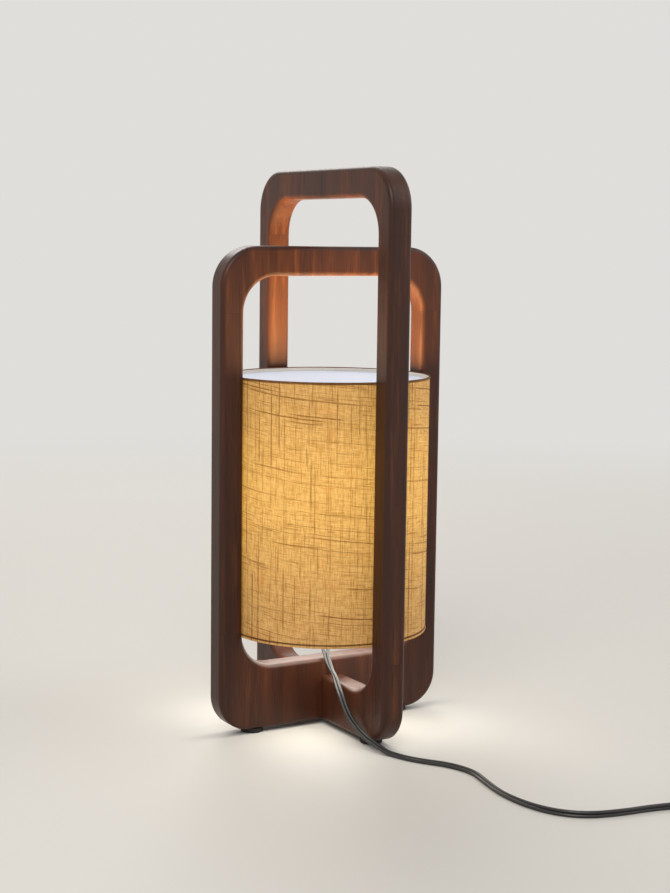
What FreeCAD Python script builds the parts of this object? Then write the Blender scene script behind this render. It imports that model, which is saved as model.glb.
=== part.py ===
import FreeCAD, Part
import math
import os

from FreeCAD import Vector

# Table lamp: two crossed wooden loops, a drum shade between their uprights, a twin cord.
# Millimetres. The origin is on the floor under the crossing, +Z up.
# The low loop stands in the XZ plane, the tall loop in the YZ plane.

# Loops
tall_height = 500.0
low_height = 432.0
low_width = 227.0
tall_width = 233.0
timber = 22.0
top_rail_depth = 26.0
foot_height = 4.0
low_rail_top = 61.0
tall_rail_top = 45.0
outer_top_radius = 36.0
outer_bottom_radius = 31.0
inner_radius = 32.0
edge_radius = 4.0
lap_height = 24.5

# Dowels in the four corner joints of each loop
dowel_radius = 2.97
dowel_bore_radius = 3.0
dowel_half_length = 15.0
dowel_offset = 5.0

# Feet
pad_radius = 10.0
pad_chamfer = 0.8
low_pad_reach = 76.0
tall_pad_reach = 80.0

# Shade
shade_radius = 90.0
shade_bottom = 88.0
shade_top = 318.0
cover_wall = 0.8
lining_wall = 0.6
lining_inset = 0.8
ring_wire_radius = 1.5
ring_wire_sides = 12
fitter_height = 128.0
fitter_thickness = 1.6
fitter_outer_radius = 27.0
fitter_inner_radius = 20.5
arm_angles = (30.0, 150.0, 270.0)

# Screws that hold the shade to the uprights
screw_radius = 1.48
screw_bore_radius = 1.5
screw_clear_radius = 1.6
screw_head_radius = 3.5
screw_head_height = 2.0
screw_length = 14.0
screw_heights = (106.0, 300.0)
spacer_radius = 4.5

# Lamp holder and bulb, on the axis
cord_exit_height = 90.0
cap_bottom = 98.0
cap_top = 120.0
cap_radius = 20.0
skirt_radius = 19.75
skirt_bore_radius = 16.0
skirt_top = 160.0
insert_bottom = 124.0
insert_top = 130.0
bulb_tip = 131.6
bulb_radius = 30.0
bulb_centre = 209.5
dome_bottom = 203.0

# Twin cord
cord_width = 5.6
cord_sides = 8
coil_pitch = 6.1
coil_outer_radius = 40.0
coil_turn_halves = 6
coil_base = 3.7
coil_centre = Vector(250.0, -307.0, 0.0)

# In-line switch and plug
switch_centre = Vector(176.0, -347.0, 0.0)
switch_length = 62.0
switch_width = 25.0
switch_height = 17.5
switch_split = 8.0
switch_wall = 2.2
switch_cord_height = 6.5
rocker_pivot_height = 14.5
rocker_reach = 9.75
rocker_tilt = 9.0
rocker_width = 10.6
plug_start = Vector(290.5, -264.0, 6.9)
plug_relief_length = 22.0
plug_length = 36.0
plug_width = 35.3
plug_thickness = 13.7
pin_length = 19.0
pin_radius = 2.0
pin_spacing = 18.6

# Worked out from the sizes above
half_timber = timber / 2
low_top_joint = low_height - top_rail_depth - inner_radius
low_bottom_joint = low_rail_top + inner_radius
tall_top_joint = tall_height - top_rail_depth - inner_radius
tall_bottom_joint = tall_rail_top + inner_radius
cover_inner_radius = shade_radius - cover_wall
lining_inner_radius = cover_inner_radius - lining_wall
ring_radius = lining_inner_radius - ring_wire_radius
cord_radius = cord_width / 2

# Route of the cord from the holder's grip to the in-line switch
lamp_route = [
    (0, 0, cord_exit_height),
    (0, 0, 79),
    (-5.5, -7.5, 68.5),
    (-8.2, -17, 60.5),
    (-10, -29, 53),
    (-13.5, -41, 49.5),
    (-17, -52, 43),
    (-18, -60.5, 35),
    (-18, -68.5, 26),
    (-17, -77, 18.8),
    (-16, -88.5, 12.5),
    (-14, -101.5, 8),
    (-11, -114, 4.6),
    (-6.5, -126, 2.8),
    (-1, -142, 2.8),
    (7, -156, 2.8),
    (19, -172, 2.8),
    (27, -198, 2.8),
    (20, -226, 2.8),
    (14.5, -256, 2.8),
    (15, -286, 2.8),
    (23, -312, 2.8),
    (40, -330, 2.8),
    (66, -337.5, 2.8),
    (95, -340.5, 2.8),
    (118, -346, 2.8),
    (136, -347, 6.5),
    (154, -347, 6.5),
]
switch_to_coil_route = [
    (198, -347, 6.5),
    (214, -347, 6.5),
    (230, -347, 3.7),
    (244.4, -347, 3.7),
]
tail_route = [
    (290, -301.4, 9.8),
    (290, -289, 9.8),
    (290.5, -276, 6.9),
    (290.5, -264, 6.9),
]


def cylinder(radius, start, end):
    """A round bar from start to end."""
    start, end = Vector(start), Vector(end)
    return Part.makeCylinder(radius, (end - start).Length, start, end - start)


def block(low, high):
    """A box between two opposite corners."""
    low, high = Vector(low), Vector(high)
    size = high - low
    return Part.makeBox(size.x, size.y, size.z, low)


def turned(points, centre=Vector(0, 0, 0)):
    """A solid of revolution about the upright axis, from (radius, height) points."""
    corners = [Vector(r, 0, z) for r, z in points]
    face = Part.Face(Part.makePolygon(corners + corners[:1]))
    solid = face.revolve(Vector(0, 0, 0), Vector(0, 0, 1), 360)
    solid.translate(centre)
    return solid


def section(radius, sides, centre, way, first=Vector(0, 0, 1)):
    """A regular polygon about centre, square to way, with a corner near the first direction."""
    across = first - way * (first.dot(way) / way.dot(way))
    if across.Length < 1e-3:
        across = Vector(1, 0, 0)
    across.normalize()
    other = way.cross(across)
    other.normalize()
    corners = []
    for index in range(sides):
        angle = 2 * math.pi * index / sides
        corners.append(centre + (across * math.cos(angle) + other * math.sin(angle)) * radius)
    return Part.makePolygon(corners + corners[:1])


def section_area(radius, sides):
    """The area of that polygon."""
    return 0.5 * sides * radius**2 * math.sin(2 * math.pi / sides)


def rounded_outline(half_width, bottom, top, bottom_radius, top_radius):
    """A closed outline in the XZ plane: a rectangle with round corners."""
    corners = [
        (half_width - bottom_radius, bottom + bottom_radius, bottom_radius, -90),
        (half_width - top_radius, top - top_radius, top_radius, 0),
        (-half_width + top_radius, top - top_radius, top_radius, 90),
        (-half_width + bottom_radius, bottom + bottom_radius, bottom_radius, 180),
    ]
    arcs = []
    for x, z, radius, first in corners:
        points = []
        for turn in (0, 45, 90):
            angle = math.radians(first + turn)
            points.append(Vector(x + radius * math.cos(angle), 0, z + radius * math.sin(angle)))
        arcs.append(points)
    edges = []
    for index, points in enumerate(arcs):
        following = arcs[(index + 1) % 4][0]
        edges.append(Part.Arc(*points).toShape())
        if (following - points[2]).Length > 1e-6:
            edges.append(Part.LineSegment(points[2], following).toShape())
    return Part.Wire(edges)


def wooden_loop(width, height, rail_top):
    """One closed loop in the XZ plane with its long edges rounded over."""
    outer = rounded_outline(width / 2, foot_height, height, outer_bottom_radius, outer_top_radius)
    inner = rounded_outline(
        width / 2 - timber, rail_top, height - top_rail_depth, inner_radius, inner_radius
    )
    plate = Part.Face(outer).extrude(Vector(0, timber, 0))
    plate = plate.cut(Part.Face(inner).extrude(Vector(0, timber, 0)))
    plate.translate(Vector(0, -half_timber, 0))
    long_edges = [e for e in plate.Edges if abs(e.Vertexes[0].Y - e.Vertexes[-1].Y) < 1e-6]
    return plate.makeFillet(edge_radius, long_edges)


def dowel_bars(width, joints, radius):
    """Two upright dowels in each stile end of a loop in the XZ plane."""
    bars = []
    for side in (-1, 1):
        x = side * (width / 2 - half_timber)
        for joint in joints:
            for y in (-dowel_offset, dowel_offset):
                bars.append(
                    cylinder(
                        radius, (x, y, joint - dowel_half_length), (x, y, joint + dowel_half_length)
                    )
                )
    return bars


def to_tall(shape):
    """Turn a shape from the XZ plane into the YZ plane: +X goes to +Y."""
    turned_shape = shape.copy()
    turned_shape.rotate(Vector(0, 0, 0), Vector(0, 0, 1), 90)
    return turned_shape


def screw_bores(inner_face, depth):
    """Pilot holes in the two stiles of a loop in the XZ plane."""
    bores = []
    for side in (-1, 1):
        for z in screw_heights:
            start = (side * (inner_face - 1), 0, z)
            bores.append(cylinder(screw_bore_radius, start, (side * (inner_face + depth), 0, z)))
    return bores


def loop_members(width, height, rail_top, top_joint, bottom_joint):
    """The loop cut at its joints: top rail, two stiles and bottom rail, with their bores."""
    loop = wooden_loop(width, height, rail_top)
    bores = dowel_bars(width, (top_joint, bottom_joint), dowel_bore_radius)
    inner_face = width / 2 - timber
    bores += screw_bores(inner_face, screw_length)
    loop = loop.cut(bores)
    reach = width
    top = loop.common(block((-reach, -timber, top_joint), (reach, timber, height + 1)))
    bottom = loop.common(block((-reach, -timber, 0), (reach, timber, bottom_joint)))
    left = loop.common(block((-reach, -timber, bottom_joint), (0, timber, top_joint)))
    right = loop.common(block((0, -timber, bottom_joint), (reach, timber, top_joint)))
    return top, left, right, bottom


def loops():
    """Both loops with the halved joint where their bottom rails cross."""
    top, left, right, bottom = loop_members(
        low_width, low_height, low_rail_top, low_top_joint, low_bottom_joint
    )
    notch = block((-half_timber, -timber, 0), (half_timber, timber, lap_height))
    members = {
        "low_top_rail": top,
        "low_stile_left": left,
        "low_stile_right": right,
        "low_bottom_rail": bottom.cut(notch),
    }
    top, near, far, bottom = loop_members(
        tall_width, tall_height, tall_rail_top, tall_top_joint, tall_bottom_joint
    )
    notch = block((-half_timber, -timber, lap_height), (half_timber, timber, tall_rail_top + 1))
    members["tall_top_rail"] = to_tall(top)
    members["tall_stile_near"] = to_tall(near)
    members["tall_stile_far"] = to_tall(far)
    members["tall_bottom_rail"] = to_tall(bottom.cut(notch))
    low_dowels = dowel_bars(low_width, (low_top_joint, low_bottom_joint), dowel_radius)
    tall_dowels = dowel_bars(tall_width, (tall_top_joint, tall_bottom_joint), dowel_radius)
    members["low_frame_dowels"] = Part.makeCompound(low_dowels)
    members["tall_frame_dowels"] = to_tall(Part.makeCompound(tall_dowels))
    return members


def feet():
    """Four round rubber pads, one under each end of the crossed rails."""
    pads = {}
    for name, reach, angle in (
        ("foot_pad_right", low_pad_reach, 0),
        ("foot_pad_far", tall_pad_reach, 90),
        ("foot_pad_left", low_pad_reach, 180),
        ("foot_pad_near", tall_pad_reach, 270),
    ):
        pad = Part.makeCylinder(pad_radius, foot_height)
        pad = pad.makeChamfer(pad_chamfer, [e for e in pad.Edges if e.BoundBox.ZMax < 1e-6])
        pad.translate(Vector(reach, 0, 0))
        pad.rotate(Vector(0, 0, 0), Vector(0, 0, 1), angle)
        pads[name] = pad
    return pads


def screw_directions():
    """The four ways from the axis to the uprights, with each upright's inner face."""
    low_face = low_width / 2 - timber
    tall_face = tall_width / 2 - timber
    return [
        (Vector(1, 0, 0), low_face),
        (Vector(0, 1, 0), tall_face),
        (Vector(-1, 0, 0), low_face),
        (Vector(0, -1, 0), tall_face),
    ]


def tube_shell(outer, inner, bottom, top):
    """An upright tube."""
    shell = Part.makeCylinder(outer, top - bottom, Vector(0, 0, bottom))
    return shell.cut(Part.makeCylinder(inner, top - bottom, Vector(0, 0, bottom)))


def wire_ring(height):
    """A ring of the shade's wire, lying flat at a height."""
    start = Vector(ring_radius, 0, height)
    wire = Part.Face(section(ring_wire_radius, ring_wire_sides, start, Vector(0, 1, 0)))
    return wire.revolve(Vector(0, 0, 0), Vector(0, 0, 1), 360)


def shade():
    """Fabric cover, stiff lining, two wire rings, the recessed fitter, screws and spacers."""
    holes, screws, low_spacers, tall_spacers = [], [], [], []
    head_face = lining_inner_radius - 0.1
    for way, face in screw_directions():
        for z in screw_heights:
            up = Vector(0, 0, z)
            holes.append(cylinder(screw_clear_radius, way * 80 + up, way * 95 + up))
            head = cylinder(screw_head_radius, way * (head_face - screw_head_height) + up, way * head_face + up)
            shank = cylinder(screw_radius, way * head_face + up, way * (head_face + screw_length) + up)
            screws.append(head.fuse(shank).removeSplitter())
            spacer = cylinder(spacer_radius, way * shade_radius + up, way * face + up)
            spacer = spacer.cut(cylinder(screw_clear_radius, way * 80 + up, way * 95 + up))
            low_side = abs(way.x) > 0.5
            (low_spacers if low_side else tall_spacers).append(spacer)
    cover = tube_shell(shade_radius, cover_inner_radius, shade_bottom, shade_top).cut(holes)
    lining = tube_shell(
        cover_inner_radius, lining_inner_radius, shade_bottom + lining_inset, shade_top - lining_inset
    ).cut(holes)
    low_ring_height = shade_bottom + lining_inset + ring_wire_radius
    top_ring_height = shade_top - lining_inset - ring_wire_radius
    top_ring = wire_ring(top_ring_height)
    fitter = wire_ring(low_ring_height)
    plate = tube_shell(
        fitter_outer_radius, fitter_inner_radius, fitter_height, fitter_height + fitter_thickness
    )
    fitter = fitter.fuse(plate)
    for angle in arm_angles:
        way = Vector(math.cos(math.radians(angle)), math.sin(math.radians(angle)), 0)
        low_end = way * ring_radius + Vector(0, 0, low_ring_height)
        high_end = way * (fitter_outer_radius - 1.5) + Vector(0, 0, fitter_height - 0.4)
        fitter = fitter.fuse(cylinder(ring_wire_radius, low_end, high_end))
    return {
        "shade_cover": cover,
        "shade_lining": lining,
        "shade_top_ring": top_ring,
        "shade_bottom_ring": fitter,
        "shade_screws": Part.makeCompound(screws),
        "shade_spacers_low": Part.makeCompound(low_spacers),
        "shade_spacers_tall": Part.makeCompound(tall_spacers),
    }


def clamp_ring():
    """The ring nut that clamps the fitter plate, with finger flutes round it."""
    bottom = fitter_height + fitter_thickness
    ring = turned(
        [
            (skirt_radius + 0.15, bottom),
            (fitter_outer_radius, bottom),
            (fitter_outer_radius, bottom + 10),
            (fitter_outer_radius - 1.5, bottom + 12),
            (skirt_radius + 0.15, bottom + 12),
        ]
    )
    flutes = []
    flute_count = 16
    for index in range(flute_count):
        angle = math.radians(360 * index / flute_count)
        x, y = (fitter_outer_radius + 1.2) * math.cos(angle), (fitter_outer_radius + 1.2) * math.sin(angle)
        flutes.append(Part.makeCylinder(2.0, 9.0, Vector(x, y, bottom + 3)))
    return ring.cut(flutes)


def lamp_holder():
    """Screw-base holder: grip, cap, body with skirt, ring nut, insert, shell and contact."""
    grip = turned(
        [
            (0, cord_exit_height),
            (3.8, cord_exit_height),
            (4.6, cord_exit_height + 4),
            (6.8, cord_exit_height + 4),
            (6.8, cap_bottom),
            (4.95, cap_bottom),
            (4.95, cap_bottom + 6),
            (0, cap_bottom + 6),
        ]
    )
    cap = turned(
        [
            (5.0, cap_bottom),
            (9.5, cap_bottom),
            (16.5, cap_bottom + 5),
            (cap_radius, cap_bottom + 12),
            (cap_radius, cap_top),
            (18.0, cap_top),
            (18.0, cap_bottom + 12),
            (15.0, cap_bottom + 6.5),
            (9.0, cap_bottom + 2.2),
            (5.0, cap_bottom + 2.2),
        ]
    )
    body = turned(
        [
            (15.9, cap_top - 7),
            (17.9, cap_top - 7),
            (17.9, cap_top),
            (22.5, cap_top),
            (24.0, cap_top + 2),
            (24.0, fitter_height),
            (skirt_radius, fitter_height),
            (skirt_radius, skirt_top - 1),
            (skirt_radius - 1, skirt_top),
            (skirt_bore_radius, skirt_top),
            (skirt_bore_radius, insert_bottom),
            (12.0, insert_bottom),
            (12.0, cap_top),
            (15.9, cap_top),
        ]
    )
    insert = turned(
        [
            (0, insert_bottom),
            (15.8, insert_bottom),
            (15.8, insert_top),
            (14.6, insert_top),
            (14.6, insert_top - 1),
            (13.2, insert_top - 1),
            (13.2, insert_top),
            (5.0, insert_top),
            (5.0, insert_top - 1),
            (0, insert_top - 1),
        ]
    )
    shell = turned(
        [
            (13.4, insert_top - 1),
            (14.4, insert_top - 1),
            (14.4, insert_top + 22),
            (13.4, insert_top + 22),
        ]
    )
    contact = turned(
        [(0, insert_top - 1), (4.8, insert_top - 1), (4.8, insert_top), (2.5, insert_top + 1.4), (0, insert_top + 1.4)]
    )
    return {
        "holder_grip": grip,
        "holder_cap": cap,
        "holder_body": body,
        "holder_clamp_ring": clamp_ring(),
        "holder_insert": insert,
        "holder_shell": shell,
        "holder_centre_contact": contact,
    }


def bulb():
    """A round bulb: opal dome, tapered housing, board, screw cap and tip contact."""
    centre = Vector(0, 0, bulb_centre)
    above = block((-40, -40, dome_bottom), (40, 40, bulb_centre + 40))
    dome = Part.makeSphere(bulb_radius, centre).cut(Part.makeSphere(bulb_radius - 1, centre))
    dome = dome.common(above)
    rim = math.sqrt(bulb_radius**2 - (bulb_centre - dome_bottom) ** 2)
    neck = bulb_tip + 25
    outer = Part.Arc(Vector(rim, 0, dome_bottom), Vector(24.2, 0, 180), Vector(13.6, 0, neck))
    inner = Part.Arc(Vector(12.1, 0, neck), Vector(22.6, 0, 180), Vector(rim - 1.6, 0, dome_bottom))
    profile = Part.Wire(
        [
            outer.toShape(),
            Part.LineSegment(Vector(13.6, 0, neck), Vector(12.1, 0, neck)).toShape(),
            inner.toShape(),
            Part.LineSegment(Vector(rim - 1.6, 0, dome_bottom), Vector(rim, 0, dome_bottom)).toShape(),
        ]
    )
    housing = Part.Face(profile).revolve(Vector(0, 0, 0), Vector(0, 0, 1), 360)
    board = Part.makeCylinder(26.0, 1.6, Vector(0, 0, dome_bottom - 4))
    cap = turned(
        [
            (12.5, bulb_tip + 5),
            (13.1, bulb_tip + 5),
            (13.1, neck),
            (12.2, neck),
            (12.2, neck - 0.6),
            (12.5, neck - 0.6),
        ]
    )
    contact = turned(
        [
            (0, bulb_tip),
            (3.2, bulb_tip),
            (4.8, bulb_tip + 1.2),
            (12.5, bulb_tip + 5),
            (12.5, bulb_tip + 6),
            (0, bulb_tip + 6),
        ]
    )
    return {
        "bulb_dome": dome,
        "bulb_housing": housing,
        "bulb_board": board,
        "bulb_cap": cap,
        "bulb_contact": contact,
    }


def route_wire(points):
    """Straight runs joined by tangent arcs, with the radius of each arc."""
    points = [Vector(p) for p in points]
    edges, radii = [], []
    here = points[0]
    for before, corner, after in zip(points, points[1:], points[2:]):
        back, ahead = before - corner, after - corner
        shorter = min(back.Length, ahead.Length)
        back.normalize()
        ahead.normalize()
        turn = math.pi - back.getAngle(ahead)
        setback = 0.45 * shorter
        radius = setback / math.tan(turn / 2)
        radii.append(radius)
        start, end = corner + back * setback, corner + ahead * setback
        inward = back + ahead
        inward.normalize()
        to_centre = radius / math.cos(turn / 2)
        middle = corner + inward * (to_centre - radius)
        edges.append(Part.LineSegment(here, start).toShape())
        edges.append(Part.Arc(start, middle, end).toShape())
        here = end
    edges.append(Part.LineSegment(here, points[-1]).toShape())
    return Part.Wire(edges), radii


def tube_along(wire):
    """An eight-sided tube of the cord's width along a wire."""
    edge = wire.OrderedEdges[0]
    start = edge.valueAt(edge.FirstParameter)
    if (start - wire.OrderedVertexes[0].Point).Length > 1e-6:
        start = edge.valueAt(edge.LastParameter)
    way = wire.OrderedVertexes[1].Point - wire.OrderedVertexes[0].Point
    profile = section(cord_radius, cord_sides, start, way)
    return wire.makePipeShell([profile], True, False)


def biarc(start, start_way, end, end_way):
    """Two tangent arcs from start to end that leave and arrive along the given ways."""
    chord = end - start
    ways = start_way + end_way
    a = 2 * (1 - start_way.dot(end_way))
    b = 2 * chord.dot(ways)
    c = -chord.dot(chord)
    reach = (-b + math.sqrt(b * b - 4 * a * c)) / (2 * a)
    joint = (start + start_way * reach + end - end_way * reach) * 0.5
    arcs = []
    for here, way, there in ((start, start_way, joint), (end, end_way * -1, joint)):
        corner = here + way * reach
        back, ahead = here - corner, there - corner
        half = back.getAngle(ahead) / 2
        inward = back + ahead
        inward.normalize()
        radius = reach * math.tan(half)
        middle = corner + inward * (math.hypot(reach, radius) - radius)
        arcs.append((here, middle, there))
    second = arcs[1]
    return [Part.Arc(*arcs[0]).toShape(), Part.Arc(second[2], second[1], second[0]).toShape()]


def coil_wire():
    """Loops that spiral in, climb a layer in one half turn, and spiral out again."""
    step = coil_pitch / 2
    inward = [(coil_outer_radius - step * index, 0) for index in range(coil_turn_halves)]
    climb = [(coil_outer_radius - step * coil_turn_halves, coil_pitch)]
    outward = [(radius, 0) for radius, _ in reversed(inward[1:])]
    height = coil_base
    lead = Vector(-cord_width, 0, 0)
    here = coil_centre + Vector(0, -coil_outer_radius, height)
    edges = [Part.LineSegment(here + lead, here).toShape()]
    side = 1
    for radius, rise in inward + climb + outward:
        way = Vector(side, 0, 0)
        there = here + Vector(0, 2 * radius * side, rise)
        edges += biarc(here, way, there, way * -1)
        here = there
        side = -side
    quarter_centre = here + Vector(0, coil_outer_radius, 0)
    there = quarter_centre + Vector(coil_outer_radius, 0, 0)
    half = coil_outer_radius * math.sqrt(0.5)
    edges.append(Part.Arc(here, quarter_centre + Vector(half, -half, 0), there).toShape())
    edges.append(Part.LineSegment(there, there + Vector(0, cord_width, 0)).toShape())
    return Part.Wire(edges)


def least_gap(wire, width):
    """The least gap of a wound tube to itself, from points along its line."""
    points = wire.discretize(Distance=2.0)
    skip = int(4 * width / 2.0)
    least = 1e9
    for index, point in enumerate(points):
        for other in points[index + skip :]:
            apart = (point - other).Length
            if apart < least:
                least = apart
    return least - width


def coil_tie():
    """A band round the bundle of turns on the coil's left side."""
    inner_turn = coil_outer_radius - coil_pitch / 2 * (coil_turn_halves - 1)
    outer_turn = coil_outer_radius - coil_pitch / 2
    clear, band, depth = 0.4, 0.7, 8.0
    drift = depth / 2 + coil_pitch / 2
    inner_edge = math.sqrt(inner_turn**2 - drift**2) - cord_radius - clear
    low = Vector(-outer_turn - cord_radius - clear, 0, coil_base - cord_radius - 0.2)
    high = Vector(-inner_edge, depth, coil_base + coil_pitch + cord_radius + clear)
    wall = Vector(band, 0, band)
    hole = block(low, high)
    ring = block(low - wall, high + wall)
    upright = [e for e in ring.Edges if abs(e.Vertexes[0].Y - e.Vertexes[1].Y) > 1]
    ring = ring.makeFillet(1.6, upright)
    hole = hole.makeFillet(1.0, [e for e in hole.Edges if abs(e.Vertexes[0].Y - e.Vertexes[1].Y) > 1])
    ring = ring.cut(hole)
    ring.translate(coil_centre + Vector(0, -depth / 2, 0))
    return ring


def cords():
    """The cord's free stretches, its coil and the coil's tie."""
    pieces = {}
    for name, route in (
        ("cord_lamp_run", lamp_route),
        ("cord_switch_run", switch_to_coil_route),
        ("cord_tail", tail_route),
    ):
        wire, radii = route_wire(route)
        tube = tube_along(wire)
        expected = section_area(cord_radius, cord_sides) * wire.Length
        print(
            name,
            "length %.1f" % wire.Length,
            "volume over section times length %.4f" % (tube.Volume / expected),
            "radii",
            [round(radius, 1) for radius in radii],
        )
        pieces[name] = tube
    wire = coil_wire()
    coil = tube_along(wire)
    expected = section_area(cord_radius, cord_sides) * wire.Length
    print(
        "cord_coil",
        "length %.1f" % wire.Length,
        "volume over section times length %.4f" % (coil.Volume / expected),
        "least gap %.2f" % least_gap(wire, cord_width),
    )
    pieces["cord_coil"] = coil
    pieces["coil_tie"] = coil_tie()
    return pieces


def switch_outline(inset, bottom, height):
    """A slab with the switch's outline, drawn in by inset."""
    half_length = switch_length / 2 - inset
    half_width = switch_width / 2 - inset
    radius = 9.0 - inset
    slab = block((-half_length, -half_width, bottom), (half_length, half_width, bottom + height))
    corners = [e for e in slab.Edges if abs(e.Vertexes[0].Z - e.Vertexes[1].Z) > 1]
    return slab.makeFillet(radius, corners)


def rocker():
    """The rocker: round ends about its pivot, a shallow V on top, tipped to its on position."""
    half = rocker_width / 2
    drum = cylinder(rocker_reach, (0, -half, 0), (0, half, 0))
    rise = rocker_reach * math.tan(math.radians(rocker_tilt))
    profile = [
        Vector(-rocker_reach - 1, -half, -4),
        Vector(rocker_reach + 1, -half, -4),
        Vector(rocker_reach + 1, -half, 3.2 + rise),
        Vector(0, -half, 3.2),
        Vector(-rocker_reach - 1, -half, 3.2 + rise),
    ]
    face = Part.Face(Part.makePolygon(profile + profile[:1]))
    body = drum.common(face.extrude(Vector(0, rocker_width, 0)))
    pins = cylinder(1.5, (0, -half - 1.8, 0), (0, half + 1.8, 0))
    body = body.fuse(pins).removeSplitter()
    body.rotate(Vector(0, 0, 0), Vector(0, 1, 0), rocker_tilt)
    body.translate(Vector(0, 0, rocker_pivot_height))
    return body


def inline_switch():
    """In-line switch on the cord: two shells, rocker, contact strips and screws."""
    end = switch_length / 2
    cord_bore = cylinder(
        cord_radius + 0.1, (-end - 1, 0, switch_cord_height), (end + 1, 0, switch_cord_height)
    )
    slot_half = rocker_reach + 0.35
    ear_half = rocker_width / 2 + 0.2
    block_end = end - 9.0
    base = switch_outline(0, 0, switch_split)
    rim = [e for e in base.Edges if e.BoundBox.ZMax < 1e-6]
    base = base.makeChamfer(1.2, rim)
    base = base.cut(switch_outline(switch_wall, switch_wall, switch_split))
    cover = switch_outline(0, switch_split, switch_height - switch_split)
    crown = [e for e in cover.Edges if e.BoundBox.ZMin > switch_height - 1e-6]
    cover = cover.makeFillet(3.5, crown)
    cover = cover.cut(switch_outline(switch_wall, switch_split - 1, switch_height - switch_wall - switch_split + 1))
    boss_x = end - 13.0
    screws = []
    for side in (-1, 1):
        x = side * boss_x
        y = side * 7.0
        boss = Part.makeCylinder(2.8, switch_height - switch_split - 1.5, Vector(x, y, switch_split))
        post = Part.makeCylinder(2.8, switch_split - 1.5, Vector(x, y, 1.5))
        cover = cover.fuse(boss)
        base = base.fuse(post)
        head = Part.makeCylinder(2.2, 1.6, Vector(x, y, 0.6))
        shank = Part.makeCylinder(1.2, 11.0, Vector(x, y, 2.2))
        screws.append(head.fuse(shank).removeSplitter())
        base = base.cut(Part.makeCylinder(2.4, 2.2, Vector(x, y, 0)))
        base = base.cut(Part.makeCylinder(1.3, 9.0, Vector(x, y, 1)))
        cover = cover.cut(Part.makeCylinder(1.22, 5.3, Vector(x, y, switch_split - 0.1)))
    ears = block((-3.2, ear_half, 11), (3.2, ear_half + 3, switch_height - 1))
    ears = ears.fuse(block((-3.2, -ear_half - 3, 11), (3.2, -ear_half, switch_height - 1)))
    cover = cover.fuse(ears)
    slot = block((-slot_half, -ear_half, 11), (slot_half, ear_half, switch_height + 1))
    pin_bore = cylinder(
        1.55, (0, -ear_half - 2, rocker_pivot_height), (0, ear_half + 2, rocker_pivot_height)
    )
    cover = cover.cut([slot, pin_bore, cord_bore])
    base = base.cut(cord_bore)
    strips = []
    for side in (-1, 1):
        outline = [
            Vector(side * 14, 0, switch_wall),
            Vector(side * 2.5, 0, switch_wall),
            Vector(side * 2.5, 0, switch_wall + 0.8),
            Vector(side * 13.2, 0, switch_wall + 0.8),
            Vector(side * 13.2, 0, 8.5),
            Vector(side * 14, 0, 8.5),
        ]
        strip = Part.Face(Part.makePolygon(outline + outline[:1])).extrude(Vector(0, 4, 0))
        strip.translate(Vector(0, -2, 0))
        strips.append(strip)
    stops = []
    for side in (-1, 1):
        low = min(side * (block_end - 5), side * block_end)
        stops.append(block((low, -4, switch_wall - 0.1), (low + 5, 4, 7.8)))
    base = base.fuse(stops)
    base = base.removeSplitter()
    pieces = {
        "switch_base": base,
        "switch_cover": cover.removeSplitter(),
        "switch_rocker": rocker(),
        "switch_contacts": Part.makeCompound(strips),
        "switch_screws": Part.makeCompound(screws),
    }
    for piece in pieces.values():
        piece.translate(switch_centre)
    return pieces


def plug():
    """A flat two-pin plug lying on its side of the coil, with its tapered relief."""
    half = plug_width / 2
    back = 10.5
    length = plug_length
    outline = [
        Vector(-back, 0, 0),
        Vector(-half + 1.5, 14, 0),
        Vector(-half, length - 14, 0),
        Vector(-half + 4, length, 0),
        Vector(half - 4, length, 0),
        Vector(half, length - 14, 0),
        Vector(half - 1.5, 14, 0),
        Vector(back, 0, 0),
    ]
    body = Part.Face(Part.makePolygon(outline + outline[:1])).extrude(Vector(0, 0, plug_thickness))
    body.translate(Vector(0, 0, -plug_start.z))
    upright = [e for e in body.Edges if abs(e.Vertexes[0].Z - e.Vertexes[1].Z) > 1]
    body = body.makeFillet(3.0, upright)
    rims = []
    for edge in body.Edges:
        box = edge.BoundBox
        flat = box.ZMax - box.ZMin < 1e-6
        if flat and box.YMin < length - 0.5:
            rims.append(edge)
    body = body.makeFillet(2.2, rims)
    relief_points = [(0, 2)]
    ribs = 4
    rib = (plug_relief_length - 4) / ribs
    for index in range(ribs):
        near = index * rib
        radius = 6.2 - 2.6 * index / ribs
        relief_points += [(radius, near + 0), (radius - 0.5, near + rib * 0.62)]
        relief_points += [(radius - 1.5, near + rib * 0.62), (radius - 1.5, near + rib)]
    relief_points += [(3.4, ribs * rib), (3.2, plug_relief_length), (0, plug_relief_length)]
    relief_points = [(r, z) for r, z in relief_points if r >= 0]
    relief_points[0] = (0, 0)
    relief = turned(relief_points)
    relief.rotate(Vector(0, 0, 0), Vector(1, 0, 0), 90)
    relief.translate(Vector(0, 0.5, 0))
    body = body.fuse(relief).removeSplitter()
    pins = []
    for side in (-1, 1):
        x = side * pin_spacing / 2
        sleeve = cylinder(pin_radius - 0.1, (x, length, 0), (x, length + 9, 0))
        tip = cylinder(pin_radius, (x, length + 9, 0), (x, length + pin_length, 0))
        end_rim = [e for e in tip.Edges if e.BoundBox.YMin > length + pin_length - 1e-6]
        tip = tip.makeChamfer(0.9, end_rim)
        pins.append(sleeve.fuse(tip))
    pins = Part.makeCompound(pins)
    place = plug_start + Vector(0, plug_relief_length - 0.5, 0)
    body.translate(place)
    pins.translate(place)
    return {"plug_body": body, "plug_pins": pins}


pieces = {}
for group in (loops(), feet(), shade(), lamp_holder(), bulb(), cords(), inline_switch(), plug()):
    pieces.update(group)

os.makedirs("parts", exist_ok=True)
for name, shape in pieces.items():
    if not shape.isValid():
        print("not valid:", name)
    shape.exportStep("parts/" + name + ".step")
print(len(pieces), "pieces")
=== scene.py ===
import math

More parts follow.
